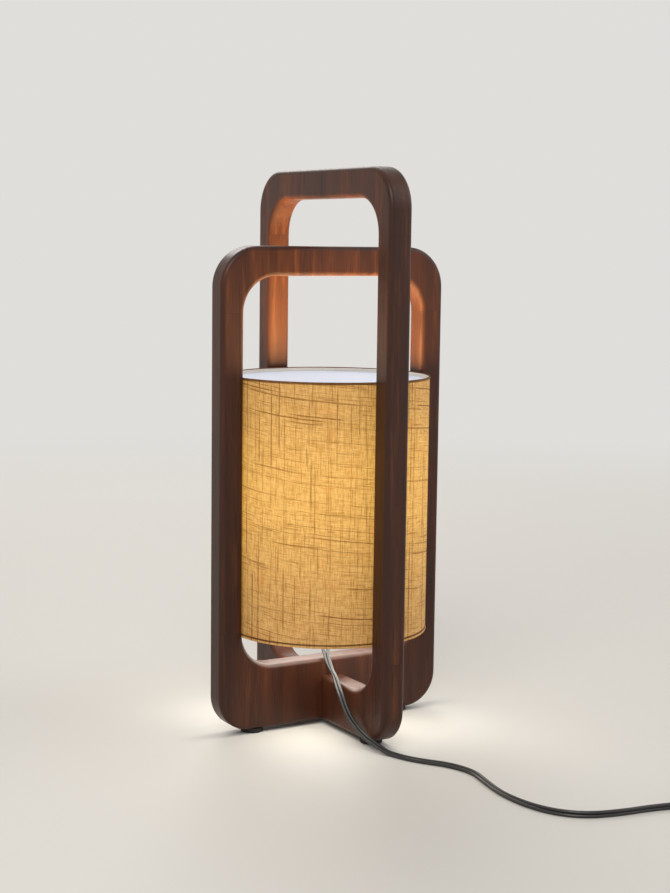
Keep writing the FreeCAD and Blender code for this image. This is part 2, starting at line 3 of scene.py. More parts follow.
import bmesh
import bpy
import numpy as np
from mathutils import Matrix, Vector


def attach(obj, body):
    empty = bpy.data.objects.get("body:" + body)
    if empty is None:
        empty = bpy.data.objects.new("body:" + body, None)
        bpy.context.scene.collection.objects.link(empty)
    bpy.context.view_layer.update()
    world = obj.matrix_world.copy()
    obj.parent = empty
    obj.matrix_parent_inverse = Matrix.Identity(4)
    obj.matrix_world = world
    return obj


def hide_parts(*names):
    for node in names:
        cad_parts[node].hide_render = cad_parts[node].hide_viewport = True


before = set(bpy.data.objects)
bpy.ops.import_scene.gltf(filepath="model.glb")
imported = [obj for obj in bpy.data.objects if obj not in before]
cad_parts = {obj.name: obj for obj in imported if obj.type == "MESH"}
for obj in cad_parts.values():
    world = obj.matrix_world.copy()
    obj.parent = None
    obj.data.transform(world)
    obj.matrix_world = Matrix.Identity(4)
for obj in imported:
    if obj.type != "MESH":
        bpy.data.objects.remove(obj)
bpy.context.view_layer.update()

# Wooden lantern table lamp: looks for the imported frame, in metres, +Z up.


def linear(red, green, blue):
    # screen colour 0 to 255 to scene light: ((c + 0.055) / 1.055) to the power 2.4
    parts = np.array([red, green, blue]) / 255
    parts = np.where(parts < 0.04045, parts / 12.92, ((parts + 0.055) / 1.055) ** 2.4)
    return (*parts.tolist(), 1.0)


class Signal:
    # one output socket; an expression on signals adds its Math nodes
    def __init__(self, board, socket):
        self.board = board
        self.socket = socket

    def maths(self, operation, other=0.0, swapped=False):
        first, second = (other, self) if swapped else (self, other)
        return self.board.node("ShaderNodeMath", {"operation": operation}, {0: first, 1: second})

    def __add__(self, other):
        return self.maths("ADD", other)

    def __radd__(self, other):
        return self.maths("ADD", other, True)

    def __sub__(self, other):
        return self.maths("SUBTRACT", other)

    def __rsub__(self, other):
        return self.maths("SUBTRACT", other, True)

    def __mul__(self, other):
        return self.maths("MULTIPLY", other)

    def __rmul__(self, other):
        return self.maths("MULTIPLY", other, True)

    def __truediv__(self, other):
        return self.maths("DIVIDE", other)

    def __rtruediv__(self, other):
        return self.maths("DIVIDE", other, True)

    def __abs__(self):
        return self.maths("ABSOLUTE")

    def bigger(self, other):
        return self.maths("MAXIMUM", other)

    def step(self, low, high):
        # 0 below low, 1 above high, a smooth rise between
        ends = {"From Min": low, "From Max": high}
        kind = {"interpolation_type": "SMOOTHSTEP"}
        return self.board.node("ShaderNodeMapRange", kind, {"Value": self, **ends})


class Board:
    # a material and its nodes
    def __init__(self, name):
        self.material = bpy.data.materials.new(name)
        self.material.use_nodes = True
        self.tree = self.material.node_tree
        self.shader = self.tree.nodes["Principled BSDF"]

    def plug(self, socket, value):
        if isinstance(value, Signal):
            self.tree.links.new(value.socket, socket)
        else:
            socket.default_value = value

    def node(self, kind, settings=None, sockets=None, output=0):
        made = self.tree.nodes.new(kind)
        for name, value in (settings or {}).items():
            setattr(made, name, value)
        for name, value in (sockets or {}).items():
            self.plug(made.inputs[name], value)
        return Signal(self, made.outputs[output])

    def place(self, output="Object"):
        return self.node("ShaderNodeTexCoord", output=output)

    def split(self, vector):
        first = self.node("ShaderNodeSeparateXYZ", sockets={0: vector})
        return [Signal(self, socket) for socket in first.socket.node.outputs]

    def join(self, x=0.0, y=0.0, z=0.0):
        return self.node("ShaderNodeCombineXYZ", sockets={0: x, 1: y, 2: z})

    def stretch(self, vector, scale, shift=(0, 0, 0)):
        return self.node("ShaderNodeMapping", sockets={"Vector": vector, "Scale": scale, "Location": shift})

    def noise(self, vector, scale, detail=2.0, roughness=0.5):
        sockets = {"Vector": vector, "Scale": scale, "Detail": detail, "Roughness": roughness}
        return self.node("ShaderNodeTexNoise", sockets=sockets)

    def blend(self, amount, first, second, way="MIX"):
        settings = {"data_type": "RGBA", "blend_type": way}
        return self.node("ShaderNodeMix", settings, {0: amount, 6: first, 7: second}, 2)

    def bump(self, height, distance, strength):
        sockets = {"Height": height, "Distance": distance, "Strength": strength}
        return self.node("ShaderNodeBump", sockets=sockets)

    def finish(self, **values):
        for name, value in values.items():
            self.plug(self.shader.inputs[name.replace("_", " ")], value)
        return self.material


# Wood: reddish brown hardwood under oil, the fibres upright in every board
wood = {
    "deep": linear(46, 22, 12),
    "body": linear(78, 39, 20),
    "light": linear(114, 64, 32),
    "pore": linear(26, 13, 8),
    # scale of the growth bands
    "rings": 26,
    # layers of the grain: count to the metre across the fibre, and the share of that count along it
    "waver": (9, 0.25),
    "bands": (38, 0.06),
    "streaks": (190, 0.06),
    "fibres": (900, 0.035),
    "pores": (1500, 0.022),
    # each board's step along the fibre from the one before it
    "boardShift": 0.02,
    "jointLine": 0.00025,
    "relief": 0.0001,
    "gloss": 0.33,
}


def woodBoard(name, shift, joints=()):
    # fibres run up the board: noise drawn out along Z, rings as warped bands, pores as short dashes
    board = Board(name)
    level = board.split(board.place())[2]
    here = board.stretch(board.place(), (1, 1, 1), shift)

    def grain(layer, detail, roughness=0.5):
        count, share = wood[layer]
        return board.noise(board.stretch(here, (1, 1, share)), count, detail, roughness)

    waver = grain("waver", 2)
    x, y, z = board.split(board.stretch(here, (1, 1, wood["bands"][1])))
    rings = board.node(
        "ShaderNodeTexWave",
        {"wave_type": "BANDS", "bands_direction": "DIAGONAL", "wave_profile": "SIN"},
        {"Vector": board.join(x + waver * 0.05, y + waver * 0.03, z), "Scale": wood["rings"],
         "Distortion": 3.0, "Detail": 3.0, "Detail Scale": 1.6},
    )
    bands = grain("bands", 3, 0.55)
    streak = grain("streaks", 3, 0.6)
    fibre = grain("fibres", 2, 0.7)
    dashes = grain("pores", 1, 0.4).step(0.62, 0.72)
    tone = (bands * 0.6 + rings * 0.14 + streak * 0.3 - 0.1).step(0.1, 0.75)
    colour = board.blend(tone, wood["deep"], wood["body"])
    colour = board.blend(streak.step(0.52, 0.78) * 0.42, colour, wood["light"])
    colour = board.blend(fibre.step(0.3, 0.62) * 0.3, colour, wood["deep"])
    colour = board.blend(dashes * 0.6, colour, wood["pore"])
    for joint in joints:
        seam = 1 - abs(level - joint).step(0.0, wood["jointLine"])
        colour = board.blend(seam * 0.6, colour, wood["pore"])
    height = fibre * 0.3 + streak * 0.2 - dashes * 0.6
    return board.finish(
        Base_Color=colour,
        Roughness=wood["gloss"] + streak * 0.14 + dashes * 0.25,
        Normal=board.bump(height, wood["relief"], 0.4),
        Specular_IOR_Level=0.28,
        Coat_Weight=0.07,
        Coat_Roughness=0.25,
    )


# the two loops: where each lies in the grain, the heights of its joints, its members
planks = {
    "low": ((0.31, 0.12, 0.40), (0.093, 0.374), ("top_rail", "stile_left", "stile_right", "bottom_rail")),
    "tall": ((0.64, 0.37, 0.20), (0.077, 0.442), ("top_rail", "stile_near", "stile_far", "bottom_rail")),
}


def dress(node, material):
    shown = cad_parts[node]
    shown.data.materials.clear()
    shown.data.materials.append(material)


for loop, (shift, joints, members) in planks.items():
    for number, member in enumerate(members):
        # the step makes the grain break at each joint
        along = (shift[0], shift[1], shift[2] + wood["boardShift"] * number)
        node = loop + "_" + member
        dress(node, woodBoard("oiledWood_" + node, along, joints))
print("wood dressed")


# Plain finishes: colour, roughness, grains to the metre, metal or not
finishes = {
    "endGrain": (linear(168, 128, 84), 0.7, 600, 0.0),
    "padRubber": (linear(24, 23, 22), 0.82, 900, 0.0),
    "wireCoat": (linear(226, 222, 212), 0.42, 700, 0.0),
    "zincSteel": (linear(176, 176, 172), 0.32, 1200, 1.0),
    "holderBlack": (linear(26, 25, 25), 0.38, 1500, 0.0),
    "insertWhite": (linear(222, 218, 205), 0.55, 800, 0.0),
    "springBrass": (linear(190, 150, 80), 0.3, 900, 1.0),
    "nickelCap": (linear(196, 194, 188), 0.26, 900, 1.0),
    "boardWhite": (linear(214, 214, 208), 0.5, 900, 0.0),
    "switchBlack": (linear(27, 27, 28), 0.36, 2200, 0.0),
    "rockerBlack": (linear(20, 20, 21), 0.24, 2200, 0.0),
    "plugBlack": (linear(25, 25, 26), 0.4, 2200, 0.0),
    "pinNickel": (linear(200, 196, 184), 0.25, 1500, 1.0),
    "strapBlack": (linear(30, 30, 32), 0.8, 2600, 0.0),
}


def plainFinish(name):
    colour, gloss, grains, metal = finishes[name]
    board = Board(name)
    here = board.place()
    fine = board.noise(here, grains, 3, 0.6)
    cloud = board.noise(here, 22, 3)
    dull = tuple(c * 0.72 for c in colour[:3]) + (1.0,)
    return board.finish(
        Base_Color=board.blend(cloud.step(0.3, 0.8) * 0.5, colour, dull),
        Roughness=gloss + cloud * 0.1 - 0.05 + fine * 0.06,
        Metallic=metal,
        Normal=board.bump(fine, 0.00005, 0.5),
    )


finished = {
    "endGrain": ("low_frame_dowels", "tall_frame_dowels"),
    "padRubber": ("foot_pad_left", "foot_pad_right", "foot_pad_near", "foot_pad_far"),
    "wireCoat": ("shade_top_ring", "shade_bottom_ring"),
    "zincSteel": ("shade_screws", "switch_screws"),
    "holderBlack": ("holder_grip", "holder_cap", "holder_body", "holder_clamp_ring"),
    "insertWhite": ("holder_insert",),
    "springBrass": ("holder_shell", "holder_centre_contact", "switch_contacts"),
    "nickelCap": ("bulb_cap", "bulb_contact"),
    "boardWhite": ("bulb_board",),
    "switchBlack": ("switch_base", "switch_cover"),
    "rockerBlack": ("switch_rocker",),
    "plugBlack": ("plug_body",),
    "pinNickel": ("plug_pins",),
}
for finish, nodes in finished.items():
    material = plainFinish(finish)
    for node in nodes:
        dress(node, material)
spacerWood = woodBoard("spacerWood", (0.2, 0.7, 0.5))
dress("shade_spacers_low", spacerWood)
dress("shade_spacers_tall", spacerWood)
print("plain finishes dressed")

# The light inside: an opal dome, a housing that it shines through a little, a white lining
glow = {
    "colour": linear(255, 238, 212),
    "warmer": linear(255, 230, 194),
    "liningGlowColour": linear(226, 236, 255),
    "domeGlass": linear(206, 200, 190),
    "housingShell": linear(228, 224, 214),
    "liningFace": (linear(220, 222, 226), linear(206, 207, 208)),
    # how strongly each glows
    "dome": 0.7,
    "housing": 0.4,
    "lining": 0.27,
    # the heights between which the housing starts to glow
    "housingFrom": 0.165,
    "housingTo": 0.203,
    # the height of the bulb's middle, and the distance at which its light on the cloth is halved
    "middle": 0.224,
    "spread": 0.085,
}


def glowBell(height):
    # falls off from the bulb's height as 1 / (1 + (distance / spread) squared)
    away = (height - glow["middle"]) / glow["spread"]
    return 1 / (1 + away * away)


def lampDome():
    board = Board("opalDome")
    cloud = board.noise(board.place(), 60, 2)
    return board.finish(
        Base_Color=glow["domeGlass"],
        Roughness=0.35 + cloud * 0.1,
        Emission_Color=board.blend(cloud * 0.2, glow["colour"], glow["warmer"]),
        Emission_Strength=glow["dome"],
    )


def lampHousing():
    board = Board("housingWhite")
    height = board.split(board.place())[2]
    lit = height.step(glow["housingFrom"], glow["housingTo"])
    fine = board.noise(board.place(), 900, 2)
    return board.finish(
        Base_Color=glow["housingShell"],
        Roughness=0.42 + fine * 0.08,
        Emission_Color=board.blend(lit, (0, 0, 0, 1), glow["colour"]),
        Emission_Strength=glow["housing"],
        Normal=board.bump(fine, 0.00003, 0.4),
    )


def liningSheet():
    board = Board("whiteLining")
    fine = board.noise(board.place(), 500, 3)
    # painted light: the lining glows as if lit by the bulb inside the shade
    return board.finish(
        Base_Color=board.blend(fine * 0.3, *glow["liningFace"]),
        Roughness=0.55 + fine * 0.1,
        Emission_Color=glow["liningGlowColour"],
        Emission_Strength=glow["lining"],
        Normal=board.bump(fine, 0.00006, 0.4),
    )


dress("bulb_dome", lampDome())
dress("bulb_housing", lampHousing())
dress("shade_lining", liningSheet())
print("light dressed")


def gridPiece(name, points, material, body, closeRows=False, closeColumns=True, flat=None):
    # a grid of rows and columns of points becomes quads; a closed side joins its last line to its first
    rows, columns = points.shape[:2]
    index = np.arange(rows * columns).reshape(rows, columns)
    down = np.roll(index, -1, 0) if closeRows else index[1:]
    here = index if closeRows else index[:-1]
    if closeColumns:
        right, lower = np.roll(here, -1, 1), np.roll(down, -1, 1)
    else:
        here, down, right, lower = here[:, :-1], down[:, :-1], here[:, 1:], down[:, 1:]
    faces = np.stack([here, right, lower, down], -1).reshape(-1, 4)
    mesh = bpy.data.meshes.new(name)
    mesh.from_pydata(points.reshape(-1, 3).tolist(), [], faces.tolist())
    if flat is not None:
        # UV in metres: the seam column gets the far end's value and not the start's
        cornerRow = np.stack([np.indices(here.shape)[0]] * 4, -1)
        cornerColumn = np.stack([np.indices(here.shape)[1]] * 4, -1)
        cornerRow[..., 2:] += 1
        cornerColumn[..., 1:3] += 1
        layer = mesh.uv_layers.new(name="flat")
        corners = flat(cornerRow.reshape(-1), cornerColumn.reshape(-1))
        layer.data.foreach_set("uv", corners.astype(np.float32).ravel())
    mesh.polygons.foreach_set("use_smooth", np.ones(len(mesh.polygons), bool))
    mesh.materials.append(material)
    mesh.update()
    made = bpy.data.objects.new(name, mesh)
    bpy.context.scene.collection.objects.link(made)
    if body:
        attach(made, body)
    return made


# Shade cover: slubby natural linen on the lining, its edges rolled over the wires
linen = {
    "radius": 0.0900,
    "bottom": 0.0880,
    "top": 0.3180,
    "wall": 0.0008,
    "overlap": 0.009,
    "turnedEdge": 0.006,
    "seamAngle": math.radians(62),
    "columns": 480,
    "rows": 72,
    # extra rows by each edge, so that the roll and its valley are round, and how far in they reach
    "edgeRows": 16,
    "edgeZone": 0.006,
    # how far each stands out, its distance from the edge, its half width
    "roll": (0.0006, 0.0011, 0.0010),
    "valley": (-0.00035, 0.0026, 0.0005),
    "lapStep": 0.00035,
    # slow waves round the shade: how far each stands out, its count and its start
    "ripples": ((0.00012, 7, 1.3), (0.0001, 17, 0.4)),
    "swayCount": 60,
    "cloth": linear(172, 127, 74),
    "cream": linear(206, 166, 113),
    "ruddy": linear(186, 122, 66),
    "thread": linear(104, 60, 10),
    # dark colour of the turned edges: the doubled cloth, darkened further as painted shade where the wire
    # rings stop the bulb's light
    "hemShadeColour": linear(56, 22, 8),
    "warm": linear(244, 237, 156),
    "edgeWarm": linear(70, 36, 14),
    "shine": 1.05,
    "relief": 0.0003,
    # how much a weft thread climbs on its way round, and the weave's sine, half a wave to a thread
    "skew": 0.10,
    "count": math.pi / 0.00062,
    # how the threads wander: count to the metre, how far the warp strays, how far the weft does
    "drift": (14, 0.0014, 0.0040),
    "wobble": (120, 0.0003, 0.0003),
    # counts to the metre: soft clouds and ruddy patches in the colour, knots along a thick thread
    "clouds": 26,
    "patches": 45,
    "knots": 260,
    # noise drawn out along the threads: count to the metre across and along, two seeds, detail, roughness
    "yarn": (1100, 130, 0.3, 0.7, 2, 0.6),
    "streaks": (300, 9, 1.3, 1.9, 3, 0.6),
    "ticks": (720, 34, 2.7, 3.1, 1, 0.5),
    # thick threads: along the warp or weft, pitch, share of them, runs per metre, width, darkness, seed
    "slubs": [
        ("warp", 0.0013, 0.36, 20, 0.16, 0.70, 11.0), ("warp", 0.0027, 0.30, 12, 0.15, 1.00, 29.0),
        ("weft", 0.0014, 0.32, 18, 0.15, 0.70, 5.0), ("weft", 0.0029, 0.28, 11, 0.14, 1.00, 43.0),
    ],
    # painted shade of the top wire ring, a dark line under the top edge: how deep it is solid, where it
    # ends, how far its edge strays
    "topLine": (0.0018, 0.0032),
    "ragged": 0.0008,
    # and painted shade of the bottom wire ring: its height, how far from that it is solid and where it ends
    "lowLine": (0.0026, 0.0003, 0.0012),
    "lapBlur": 0.0004,
}


def clothNoise(board, x, y, seed, detail=2, roughness=0.5):
    # noise over the flat cloth; x and y say how fine it is, the seed takes another slice of it
    return board.noise(board.join(x, y, seed), 1.0, detail, roughness)


def threads(board, across, along, pitch, share, runs, width, dark, seed):
    # each thread of the pitch has two random numbers: one shows it, one shifts and darkens it;
    # noise along it breaks it into runs and swells it into knots
    number = (across / pitch).maths("FLOOR")
    lot = board.node("ShaderNodeTexWhiteNoise", {"noise_dimensions": "1D"}, {"W": number + seed})
    lean = board.node("ShaderNodeTexWhiteNoise", {"noise_dimensions": "1D"}, {"W": number + (seed + 0.5)})
    off = abs(across / pitch - number - 0.3 - lean * 0.4)
    run = clothNoise(board, number * 3.7 + seed, along * runs, 0.0)
    knot = clothNoise(board, number * 5.3 + seed, along * linen["knots"], 4.0, 1)
    thick = knot * 0.12 + knot.step(0.66, 0.78) * 0.16 + (width - 0.06)
    shown = lot.step(1 - share, 1 - share * 0.7) * run.step(0.47, 0.56)
    return shown * (1 - (off - thick).step(0.0, 0.1)) * (lean * 0.4 + 0.6) * dark


def linenCloth():
    # warp runs up the cloth and weft round it, both a little wavy; the bulb's light comes through
    board = Board("slubLinen")
    u, v = board.split(board.place("UV"))[:2]
    slow, slowWarp, slowWeft = linen["drift"]
    quick, quickWarp, quickWeft = linen["wobble"]
    drift = clothNoise(board, u * slow, v * slow, 0.0)
    wobble = clothNoise(board, u * quick, v * quick, 5.0)
    uWave = u + drift * slowWarp + wobble * quickWarp
    vWave = v + u * linen["skew"] + drift * slowWeft + wobble * quickWeft

    def bothWays(layer):
        fine, drawn, warpSeed, weftSeed, detail, roughness = linen[layer]
        up = clothNoise(board, uWave * fine, v * drawn, warpSeed, detail, roughness)
        around = clothNoise(board, u * drawn, vWave * fine, weftSeed, detail, roughness)
        return up, around

    warp, weft = bothWays("yarn")
    bars, beams = bothWays("streaks")
    ticks, dashes = bothWays("ticks")
    # plain weave, over and under: sine across the warp times sine across the weft
    over = (uWave * linen["count"]).maths("SINE") * (vWave * linen["count"]).maths("SINE")
    cloud = clothNoise(board, u * linen["clouds"], v * linen["clouds"], 2.1, 3)
    patch = clothNoise(board, u * linen["patches"], v * linen["patches"], 8.0)
    ways = {"warp": (uWave, v), "weft": (vWave, u)}
    layers = [threads(board, *ways[way], *numbers) for way, *numbers in linen["slubs"]]
    slub = layers[0]
    for layer in layers[1:]:
        slub = slub.bigger(layer)

    # painted shade: dark lines at the two edges where the wire rings and turned cloth stop the bulb's
    # light; the same mask also shapes the bump
    topLine = 1 - (linen["top"] - v + wobble * linen["ragged"]).step(*linen["topLine"])
    lowHeight, lowSolid, lowEnd = linen["lowLine"]
    lowLine = 1 - abs(v - (linen["bottom"] + lowHeight)).step(lowSolid, lowEnd)
    hemAndShade = topLine.bigger(lowLine) * (0.8 + cloud * 0.25)
    # less light comes through where the cloth overlaps
    lapHalf = linen["overlap"] / 2
    single = abs(u - lapHalf).step(lapHalf - linen["lapBlur"], lapHalf)
    bell = glowBell(v) * (0.78 + single * 0.22) * (0.88 + cloud * 0.24)

    weave = warp * 0.5 + weft * 0.5 + over * 0.07
    colour = board.blend(weave.step(0.32, 0.68), linen["cloth"], linen["cream"])
    colour = board.blend(patch.step(0.55, 0.75) * 0.3, colour, linen["ruddy"])
    colour = board.blend(bars.bigger(beams).step(0.58, 0.8) * 0.3, colour, linen["thread"])
    colour = board.blend(ticks.bigger(dashes).step(0.62, 0.74) * 0.42, colour, linen["thread"])
    colour = board.blend(slub * 0.94, colour, linen["thread"])
    colour = board.blend(hemAndShade * 0.9, colour, linen["hemShadeColour"])
    tint = board.blend(bell, linen["edgeWarm"], linen["warm"])
    height = warp * 0.3 + weft * 0.3 + over * 0.35 + slub * 0.9 - hemAndShade * 0.8
    return board.finish(
        Base_Color=colour,
        Roughness=0.86 + cloud * 0.1,
        Emission_Color=board.blend(1.0, colour, tint, "MULTIPLY"),
        Emission_Strength=linen["shine"],
        Sheen_Weight=0.05,
        Specular_IOR_Level=0.2,
        Normal=board.bump(height, linen["relief"], 0.7),
    )


def swelling(distance, tall, middle, half):
    # a bell: tall * e to the power -((distance - middle) / half) squared
    return tall * np.exp(-((distance - middle) / half) ** 2)


def shadeCover():
    # profile: up the outside and back down the inside; radius outside = shade + roll + valley + overlap
    # + ripple, where the ripple is a sum of sines round the shade that comes and goes with height
    radius, bottom, top = linen["radius"], linen["bottom"], linen["top"]
    zone = np.linspace(0, linen["edgeZone"], linen["edgeRows"])
    height = np.unique(np.concatenate([np.linspace(bottom, top, linen["rows"]), bottom + zone, top - zone]))
    fromEdge = np.minimum(height - bottom, top - height)
    outer = radius + swelling(fromEdge, *linen["roll"]) + swelling(fromEdge, *linen["valley"])
    inner = np.full(len(height), radius - linen["wall"])
    r = np.concatenate([outer, inner])[:, None]
    z = np.concatenate([height, height[::-1]])
    outside = np.repeat([1.0, 0.0], len(height))[:, None]
    around = np.arange(linen["columns"]) / linen["columns"] * 2 * math.pi
    turn = linen["seamAngle"] + around
    lap = linen["lapStep"] * (around * radius < linen["overlap"])
    ripple = sum(tall * np.sin(turn * count + start) for tall, count, start in linen["ripples"])
    sway = np.sin(z * linen["swayCount"])[:, None] * 0.5 + 0.5
    reach = r + outside * (lap + ripple * sway)
    level = np.broadcast_to(z[:, None], reach.shape)
    points = np.stack([reach * np.cos(turn), reach * np.sin(turn), level], -1)

    def flat(row, column):
        return np.stack([column / linen["columns"] * 2 * math.pi * radius, z[row % len(z)]], -1)

    made = gridPiece("shadeLinen", points, linenCloth(), "lamp", closeRows=True, flat=flat)
    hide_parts("shade_cover")
    # cut size: the way round and the overlap, by the height and two turned edges
    width = round(2 * math.pi * radius + linen["overlap"], 4)
    length = round(top - bottom + 2 * linen["turnedEdge"], 4)


shadeCover()
print("shade made")

# The cord: a black figure-8 twin, one route from the holder to the plug
cord = {
    "width": 0.0056,
    # the radius of each core, and how far its centre is from the cord's line
    "core": 0.00145,
    "half": 0.00135,
    "length": 1.8,
    "rings": 1400,
    "sides": 14,
    "route": [
        (0, 0, 0.090), (0, 0, 0.079), (-0.0055, -0.0075, 0.0685), (-0.0082, -0.017, 0.0605),
        (-0.010, -0.029, 0.053), (-0.0135, -0.041, 0.0495), (-0.017, -0.052, 0.043),
        (-0.018, -0.0605, 0.035), (-0.018, -0.0685, 0.026), (-0.017, -0.077, 0.0188),
        (-0.016, -0.0885, 0.0125), (-0.014, -0.1015, 0.008), (-0.011, -0.114, 0.0046),
        (-0.0065, -0.126, 0.0028), (-0.001, -0.142, 0.0028), (0.007, -0.156, 0.0028),
        (0.019, -0.172, 0.0028), (0.027, -0.198, 0.0028), (0.020, -0.226, 0.0028),
        (0.0145, -0.256, 0.0028), (0.015, -0.286, 0.0028), (0.023, -0.312, 0.0028),
        (0.040, -0.330, 0.0028), (0.066, -0.3375, 0.0028), (0.095, -0.3405, 0.0028),
        (0.118, -0.346, 0.0028), (0.136, -0.347, 0.0065), (0.154, -0.347, 0.0065),
        (0.176, -0.347, 0.0065), (0.198, -0.347, 0.0065), (0.214, -0.347, 0.0065),
        (0.230, -0.347, 0.0037),
    ],
    # from the end of the coil to the plug
    "tail": [(0.290, -0.289, 0.0098), (0.2905, -0.276, 0.0069), (0.2905, -0.264, 0.0069)],
    "coilCentre": (0.250, -0.307),
    "coilOuter": 0.040,
    "coilPitch": 0.0061,
    "coilBase": 0.0037,
    "coilTurns": 3,
    # distances along the cord: where its roll stops being measured from the view and is from the floor
    "viewToFloor": (0.085, 0.14),
    # distances between which the cores part below the grip and meet again, and how far each goes
    "parts": (0.004, 0.016),
    "meets": (0.020, 0.032),
    "split": 0.0014,
    # how the pair rolls: metres along the cord, degrees
    "rolls": [
        (0.0, 0), (0.036, 0), (0.052, 62), (0.072, 20), (0.085, 0), (0.118, 0), (0.137, 42),
        (0.156, 15), (0.22, 25), (0.30, 15), (0.36, 55), (0.42, 90), (0.47, 90), (0.51, 0),
        (0.57, 0), (0.62, 90), (1.74, 90), (1.78, 0), (2.0, 0),
    ],
    # the heights of the line between which the pair stops resting on the floor
    "lifted": (0.0031, 0.0052),
}


def coilSteps(quarter):
    # steps of one pitch: level through three quarters, half a step at the fourth
    return quarter // 4 + 0.5 * (quarter % 4 == 3)


def coilPoints():
    # in by quarter turns, up a layer in the half turn where the spiral reverses, out the same way
    pitch, outer, turns = cord["coilPitch"], cord["coilOuter"], cord["coilTurns"]
    inner = outer - pitch * turns
    inward = outer - pitch * coilSteps(np.arange(4 * turns + 1))
    outward = inner + pitch * coilSteps(np.arange(2, 4 * turns + 2))
    radius = np.concatenate([inward, [inner], outward])
    level = np.concatenate([np.zeros(len(inward)), [0.5], np.ones(len(outward))])
    quarter = np.arange(len(radius))
    perQuarter = 4
    fine = np.linspace(0, quarter[-1], perQuarter * quarter[-1] + 1)
    # the spline runs inside its points by the cosine of half their spacing
    reach = np.interp(fine, quarter, radius) / math.cos(math.pi / 4 / perQuarter)
    height = cord["coilBase"] + pitch * np.interp(fine, quarter, level)
    turn = (fine - 1) * math.pi / 2
    x = cord["coilCentre"][0] + reach * np.cos(turn)
    y = cord["coilCentre"][1] + reach * np.sin(turn)
    return np.stack([x, y, height], -1)


def smoothLine(points):
    # a quadratic NURBS spline with these control points, read back as points along it
    data = bpy.data.curves.new("cordRoute", "CURVE")
    data.dimensions = "3D"
    data.resolution_u = 16
    spline = data.splines.new("NURBS")
    spline.points.add(len(points) - 1)
    for point, place in zip(spline.points, points):
        point.co = (*place, 1.0)
    spline.order_u = 3
    spline.use_endpoint_u = True
    holder = bpy.data.objects.new("cordRoute", data)
    bpy.context.scene.collection.objects.link(holder)
    mesh = bpy.data.meshes.new_from_object(holder)
    line = np.empty(len(mesh.vertices) * 3)
    mesh.vertices.foreach_get("co", line)
    bpy.data.objects.remove(holder)
    return line.reshape(-1, 3)


def evenly(line, count):
    # the same line as count points at even distances, and their distances along it
    run = np.concatenate([[0], np.cumsum(np.linalg.norm(np.diff(line, axis=0), axis=1))])
    at = np.linspace(0, run[-1], count)
    return np.stack([np.interp(at, run, line[:, k]) for k in range(3)], -1), at


def unit(vectors):
    return vectors / np.linalg.norm(vectors, axis=-1, keepdims=True)


def rise(value, low, high):
    # 0 below low, 1 above high, between them 3 t squared - 2 t cubed
    t = np.clip((value - low) / (high - low), 0, 1)
    return t * t * (3 - 2 * t)


# The photograph's view: place, directions, then the lens and the sensor's width in millimetres
camera = {
    "place": (-0.77261, -1.31817, 0.43827),
    "right": (0.86149669, -0.50760485, 0.01267955),
    "up": (0.05033041, 0.1102149, 0.99263262),
    "forward": (0.50526261, 0.85451155, -0.12049773),
    "lens": 68.80,
    "sensor": 36,
    "clip": (0.05, 30),
}


def cordPlastic():
    board = Board("cordPlastic")
    fine = board.noise(board.place(), 1800, 3, 0.6)
    cloud = board.noise(board.place(), 45, 2)
    return board.finish(
        Base_Color=board.blend(cloud, linear(13, 12, 12), linear(24, 23, 23)),
        Roughness=0.38 + cloud * 0.12 + fine * 0.05,
        Normal=board.bump(fine, 0.00003, 0.5),
        Coat_Weight=0.4,
        Coat_Roughness=0.22,
    )


def twinCord():
    # two round cores side by side: centre = line +- apart * (side cos roll + lift sin roll)
    controls = np.concatenate([cord["route"], coilPoints(), cord["tail"]])
    line, run = evenly(smoothLine(controls), cord["rings"])
    up = np.array([0, 0, 1.0])
    along = unit(np.gradient(line, axis=0))
    lying = rise(run, *cord["viewToFloor"])[:, None]
    toward = unit((1 - lying) * -np.array(camera["forward"]) + lying * up)
    side = unit(np.cross(toward, along))
    lift = np.cross(along, side)
    stations, rolls = np.array(cord["rolls"]).T
    roll = np.radians(np.interp(run, stations, rolls))[:, None]
    across = side * np.cos(roll) + lift * np.sin(roll)
    apart = cord["half"] + cord["split"] * rise(run, *cord["parts"]) * (1 - rise(run, *cord["meets"]))
    # on the floor the pair sinks by half * (1 - how upright it stands), so that its lower core rests there
    settle = cord["half"] * (1 - np.abs(across[:, 2])) * (1 - rise(line[:, 2], *cord["lifted"]))
    centre = line - settle[:, None] * up
    turn = np.linspace(0, 2 * math.pi, cord["sides"], endpoint=False)[:, None]
    ring = np.cos(turn) * side[:, None, :] + np.sin(turn) * lift[:, None, :]
    material = cordPlastic()
    cores = []
    for name, way in (("twinCord", -1), ("otherCore", 1)):
        middle = centre + across * (way * apart)[:, None]
        tube = middle[:, None, :] + cord["core"] * ring
        first, last = [np.broadcast_to(middle[k], (1, cord["sides"], 3)) for k in (0, -1)]
        cores.append(gridPiece(name, np.concatenate([first, tube, last]), material, "lamp"))
    made = cores[0]
    with bpy.context.temp_override(active_object=made, selected_editable_objects=cores):
        bpy.ops.object.join()
    # the points that close each end become one
    work = bmesh.new()
    work.from_mesh(made.data)
    bmesh.ops.remove_doubles(work, verts=work.verts, dist=1e-7)
    work.to_mesh(made.data)
    work.free()
    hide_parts("cord_lamp_run", "cord_switch_run", "cord_tail", "cord_coil")
    return made, line


# Strap round the coil's bundle of turns: its middle and its half size, each along X and Z
tie = {
    "middle": (0.2191, 0.0068),
    "half": (0.0086, 0.0061),
    "wall": 0.0007,
    "width": 0.008,
    "squareness": 5,
    "steps": 64,
}


